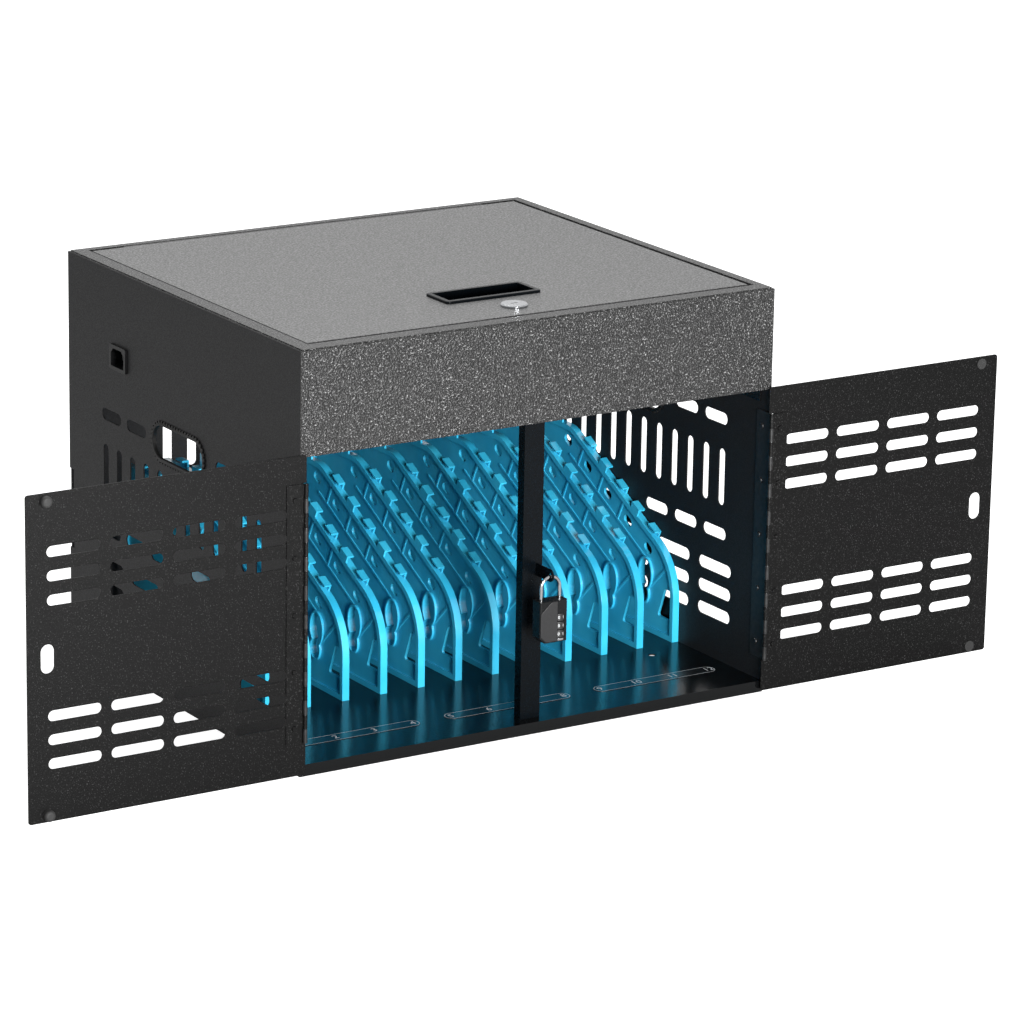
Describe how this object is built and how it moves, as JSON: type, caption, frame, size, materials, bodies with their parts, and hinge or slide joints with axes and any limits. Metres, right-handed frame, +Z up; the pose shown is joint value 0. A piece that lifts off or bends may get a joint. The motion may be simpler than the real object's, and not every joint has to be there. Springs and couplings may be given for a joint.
{
  "type": "charging cabinet",
  "caption": "Desktop steel charging cabinet with vented double doors, upright device dividers, a lift-up lid over the power bay and a combination padlock.",
  "frame": {"origin": "middle of the base, on the surface that the cabinet stands on", "axes": "+X to the right across the doors, +Y from the front to the back, +Z up"},
  "size_m": [0.986, 0.4416, 0.3769],
  "materials": {
    "side_powder_coat": "fine matte charcoal powder coat",
    "fascia_powder_coat": "coarse textured charcoal powder coat",
    "lid_powder_coat": "fine textured charcoal powder coat",
    "inner_powder_coat": "glossy black powder coat",
    "door_powder_coat": "fine textured black powder coat",
    "turquoise_plastic": "glossy turquoise moulded plastic",
    "black_steel": "satin black coated steel",
    "black_nylon": "matte",
    "black_plastic": "satin moulded",
    "number_strip": "satin",
    "bright_steel": "zinc plated",
    "chrome": "polished",
    "padlock_enamel": "satin black enamel",
    "dial_plastic": "satin",
    "black_rubber": "matte",
    "strip_enamel": "satin black enamel"
  },
  "bodies": {
    "cabinet": {"left_side_panel": "side_powder_coat", "right_side_panel": "side_powder_coat", "back_panel": "side_powder_coat", "floor_pan": "inner_powder_coat", "device_shelf": "inner_powder_coat", "front_fascia": "fascia_powder_coat", "top_frame": "fascia_powder_coat", "center_post": "inner_powder_coat", "divider_01": "turquoise_plastic", "divider_02": "turquoise_plastic", "divider_03": "turquoise_plastic", "divider_04": "turquoise_plastic", "divider_05": "turquoise_plastic", "divider_06": "turquoise_plastic", "divider_07": "turquoise_plastic", "divider_08": "turquoise_plastic", "divider_09": "turquoise_plastic", "divider_10": "turquoise_plastic", "divider_11": "turquoise_plastic", "divider_12": "turquoise_plastic", "number_strips": "number_strip", "left_wall_hinge_leaf": "black_steel", "right_wall_hinge_leaf": "black_steel", "door_hinge_pins": "black_steel", "wall_hinge_rivets": "black_steel", "left_hand_hole_edging": "black_nylon", "right_hand_hole_edging": "black_nylon", "power_inlet": "black_plastic", "inlet_pins": "bright_steel", "cable_grommets": "black_nylon", "strip_housing": "strip_enamel", "outlet_inserts": "black_plastic", "switch_bezel": "black_plastic", "strip_brackets": "black_steel", "bracket_screws": "bright_steel", "lid_hinge_frame_leaf": "black_steel", "lid_hinge_pin": "black_steel"},
    "lid": {"lid_panel": "lid_powder_coat", "lid_hinge_lid_leaf": "black_steel", "lid_pull_cup": "black_plastic", "lock_barrel": "chrome", "lock_nut": "bright_steel"},
    "lid_lock": {"lock_core": "chrome", "lock_cam": "bright_steel", "cam_screw": "bright_steel"},
    "left_door": {"left_door_panel": "door_powder_coat", "left_door_hinge_leaf": "black_steel", "left_door_bumpers": "black_rubber", "left_door_rivets": "black_steel"},
    "right_door": {"right_door_panel": "door_powder_coat", "right_door_hinge_leaf": "black_steel", "right_door_pads": "black_rubber", "right_door_rivets": "black_steel"},
    "shackle": {"padlock_shackle": "chrome"},
    "padlock": {"padlock_body": "padlock_enamel", "padlock_spindle": "bright_steel"},
    "number_wheel_1": {"padlock_dial_1": "dial_plastic"},
    "number_wheel_2": {"padlock_dial_2": "dial_plastic"},
    "number_wheel_3": {"padlock_dial_3": "dial_plastic"},
    "strip_switch": {"strip_rocker": "black_plastic"}
  },
  "joints": [
    {"name": "lid_swing", "type": "hinge", "parent": "cabinet", "child": "lid", "pos_m": [0, 0.1988, 0.3723], "axis": [-1, 0, 0], "range_deg": [0, 95]},
    {"name": "lid_lock_turn", "type": "hinge", "parent": "lid", "child": "lid_lock", "pos_m": [0, -0.1615, 0.365], "axis": [0, 0, -1], "range_deg": [0, 90]},
    {"name": "left_door_swing", "type": "hinge", "parent": "cabinet", "child": "left_door", "pos_m": [-0.2369, -0.2153, 0.1457], "axis": [0, 0, -1], "range_deg": [-176.5, 0]},
    {"name": "right_door_swing", "type": "hinge", "parent": "cabinet", "child": "right_door", "pos_m": [0.2369, -0.2176, 0.1457], "axis": [0, 0, 1], "range_deg": [-175, 0]},
    {"name": "padlock_swing", "type": "hinge", "parent": "cabinet", "child": "shackle", "pos_m": [0.003, -0.2231, 0.1458], "axis": [-1, 0, 0], "range_deg": [-12, 75]},
    {"name": "padlock_release", "type": "slide", "parent": "shackle", "child": "padlock", "axis": [0, 0, -1], "range_m": [0, 0.008]},
    {"name": "strip_switch_rock", "type": "hinge", "parent": "cabinet", "child": "strip_switch", "pos_m": [-0.182, 0.0205, 0.321], "axis": [-1, 0, 0], "range_deg": [0, 10]},
    {"name": "number_wheel_1_turn", "type": "hinge", "parent": "padlock", "child": "number_wheel_1", "pos_m": [0.0105, -0.2231, 0.1096], "axis": [0, 0, 1], "continuous": true},
    {"name": "number_wheel_2_turn", "type": "hinge", "parent": "padlock", "child": "number_wheel_2", "pos_m": [0.0105, -0.2231, 0.1021], "axis": [0, 0, 1], "continuous": true},
    {"name": "number_wheel_3_turn", "type": "hinge", "parent": "padlock", "child": "number_wheel_3", "pos_m": [0.0105, -0.2231, 0.0946], "axis": [0, 0, 1], "continuous": true}
  ]
}
